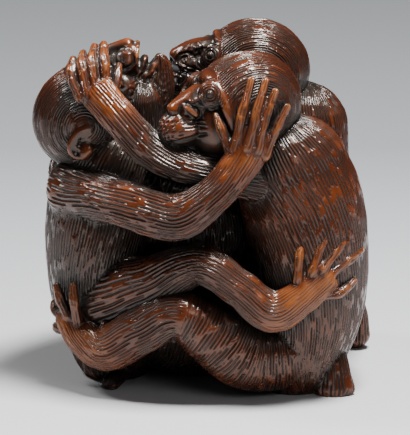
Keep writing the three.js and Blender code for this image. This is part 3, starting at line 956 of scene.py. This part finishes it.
def stained_wood():
    made = bpy.data.materials.new("stained_wood")
    made.use_nodes = True
    nodes, links = made.node_tree.nodes, made.node_tree.links
    shader = nodes["Principled BSDF"]

    def attribute(name):
        node = nodes.new("ShaderNodeAttribute")
        node.attribute_name = name
        return node.outputs["Fac"]

    def maths(operation, *values):
        node = nodes.new("ShaderNodeMath")
        node.operation = operation
        for socket, value in zip(node.inputs, values):
            if isinstance(value, (int, float)):
                socket.default_value = value
            else:
                links.new(value, socket)
        return node.outputs[0]

    def noise(scale, detail, place):
        node = nodes.new("ShaderNodeTexNoise")
        node.inputs["Scale"].default_value = scale
        node.inputs["Detail"].default_value = detail
        links.new(place, node.inputs["Vector"])
        return node.outputs["Fac"]

    def uneven(fineness, detail, reach, place):
        return maths("MULTIPLY_ADD", noise(fineness, detail, place), reach, -reach / 2)

    def mix(share, a, b):
        node = nodes.new("ShaderNodeMix")
        node.data_type = "RGBA"
        node.clamp_factor = True
        links.new(share, node.inputs["Factor"])
        for key, value in (("A", a), ("B", b)):
            socket = next(s for s in node.inputs if s.name == key and s.type == "RGBA")
            if isinstance(value, tuple):
                socket.default_value = (*value, 1)
            else:
                links.new(value, socket)
        return next(s for s in node.outputs if s.type == "RGBA")

    place = nodes.new("ShaderNodeTexCoord").outputs["Object"]
    lines = maths("COSINE", maths("MULTIPLY", attribute("across"), 2 * math.pi))
    lines = maths("POWER", maths("MULTIPLY_ADD", lines, 0.5, 0.5), LINE_SHARPNESS)
    groove = maths("MULTIPLY_ADD", lines, attribute("hair"), attribute("groove"))
    groove.node.use_clamp = True
    patches = uneven(*PATCHES, place)
    combed = nodes.new("ShaderNodeCombineXYZ")
    links.new(attribute("across"), combed.inputs["X"])
    links.new(maths("MULTIPLY", attribute("along"), 0.4), combed.inputs["Y"])
    patches = maths("ADD", patches, uneven(*STREAKS, combed.outputs["Vector"]))
    worn = maths("MULTIPLY_ADD", attribute("bulge"), 2.0, attribute("worn"))
    worn = maths("ADD", worn, patches)
    # Painted shade: crowded spots slide down the stain ramp.
    worn = maths("MULTIPLY_ADD", attribute("painted_shade"), -0.7, worn)
    tone = nodes.new("ShaderNodeValToRGB")
    links.new(worn, tone.inputs["Fac"])
    stops = tone.color_ramp.elements
    for stop, (position, colour) in zip(list(stops), (STAIN[0], STAIN[-1])):
        stop.position = position
        stop.color = (*colour, 1)
    for position, colour in STAIN[1:-1]:
        stops.new(position).color = (*colour, 1)
    dark = mix(groove, tone.outputs["Color"], CUT_TONE)
    # Painted shade: crowded spots are mixed towards near black.
    dark = mix(maths("MULTIPLY", attribute("painted_shade"), 0.8), dark, PAINTED_SHADE_TONE)
    links.new(dark, shader.inputs["Base Color"])
    rough = maths("MULTIPLY_ADD", groove, 0.4, 0.22)
    links.new(maths("MULTIPLY_ADD", attribute("painted_shade"), 0.35, rough), shader.inputs["Roughness"])
    lined = nodes.new("ShaderNodeBump")
    lined.invert = True
    lined.inputs["Strength"].default_value = 1.0
    lined.inputs["Distance"].default_value = 0.00008
    links.new(groove, lined.inputs["Height"])
    bump = nodes.new("ShaderNodeBump")
    bump.inputs["Strength"].default_value = 0.25
    bump.inputs["Distance"].default_value = 0.00005
    links.new(noise(2600, 2, place), bump.inputs["Height"])
    links.new(lined.outputs["Normal"], bump.inputs["Normal"])
    links.new(bump.outputs["Normal"], shader.inputs["Normal"])
    links.new(bump.outputs["Normal"], shader.inputs["Coat Normal"])
    shader.inputs["Specular IOR Level"].default_value = 0.35
    shader.inputs["Specular Tint"].default_value = (1.0, 0.84, 0.7, 1)
    shader.inputs["Coat Weight"].default_value = 0.45
    shader.inputs["Coat Roughness"].default_value = 0.13
    return made


wood = stained_wood()
for name in MONKEYS:
    piece = carve(name)
    piece.data.materials.clear()
    piece.data.materials.append(wood)
    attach(piece, "root")
    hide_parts("three_monkeys")


# The floor, the light and the camera
AIM = (0, 0, 15)
LIGHTS = {
    "key": ((-150, 50, 200), 50, 0.34),
    "overhead": ((45, -12, 235), 65, 2.0),
    "front_fill": ((110, -220, 190), 120, 0.13),
}


def area_light(name, place, size, power):
    """A square softbox turned towards the carving."""
    data = bpy.data.lights.new(name, "AREA")
    data.shape = "SQUARE"
    data.size = size * MM
    data.energy = power
    lamp = bpy.data.objects.new(name, data)
    bpy.context.scene.collection.objects.link(lamp)
    lamp.location = Vector(place) * MM
    lamp.rotation_euler = (Vector(AIM) - Vector(place)).to_track_quat("-Z", "Y").to_euler()


deselect()
bpy.ops.mesh.primitive_plane_add(size=4)
floor = bpy.context.object
floor.name = "floor"
paper = bpy.data.materials.new("paper")
paper.use_nodes = True
paper_shader = paper.node_tree.nodes["Principled BSDF"]
paper_nodes, paper_links = paper.node_tree.nodes, paper.node_tree.links
# Painted shade: the floor's colour darkens towards the back, for the light falling off across the paper.
spread = paper_nodes.new("ShaderNodeSeparateXYZ")
paper_links.new(paper_nodes.new("ShaderNodeTexCoord").outputs["Object"], spread.inputs["Vector"])
painted_falloff = paper_nodes.new("ShaderNodeMapRange")
painted_falloff.inputs["From Min"].default_value = -0.03
painted_falloff.inputs["From Max"].default_value = 0.09
paper_links.new(spread.outputs["Y"], painted_falloff.inputs["Value"])
shade = paper_nodes.new("ShaderNodeValToRGB")
shade.color_ramp.elements[0].color = (0.52, 0.52, 0.53, 1)
shade.color_ramp.elements[1].color = (0.21, 0.22, 0.23, 1)
paper_links.new(painted_falloff.outputs["Result"], shade.inputs["Fac"])
paper_links.new(shade.outputs["Color"], paper_shader.inputs["Base Color"])
paper_shader.inputs["Roughness"].default_value = 0.9
floor.data.materials.append(paper)

for name, (place, size, power) in LIGHTS.items():
    area_light(name, place, size, power)
world = bpy.data.worlds.new("room")
world.use_nodes = True
world.node_tree.nodes["Background"].inputs["Color"].default_value = (0.5, 0.52, 0.55, 1)
world.node_tree.nodes["Background"].inputs["Strength"].default_value = 0.11
bpy.context.scene.world = world

PHOTO_HEIGHT = 435  # pixels
PHOTO_FOCAL = 5000  # pixels
SENSOR = 36
CAMERA_DISTANCE = 500
CAMERA_RISE = math.radians(15)
target = Vector((0, 0, 15.7)) - Vector(GROUP_MIDDLE)
camera_data = bpy.data.cameras.new("camera")
camera_data.sensor_width = SENSOR
camera_data.lens = PHOTO_FOCAL * SENSOR / PHOTO_HEIGHT
camera_data.clip_end = 10
camera = bpy.data.objects.new("camera", camera_data)
bpy.context.scene.collection.objects.link(camera)
away = Vector((0, -math.cos(CAMERA_RISE), math.sin(CAMERA_RISE)))
camera.location = (target + away * CAMERA_DISTANCE) * MM
camera.rotation_euler = (-away).to_track_quat("-Z", "Y").to_euler()
bpy.context.scene.camera = camera
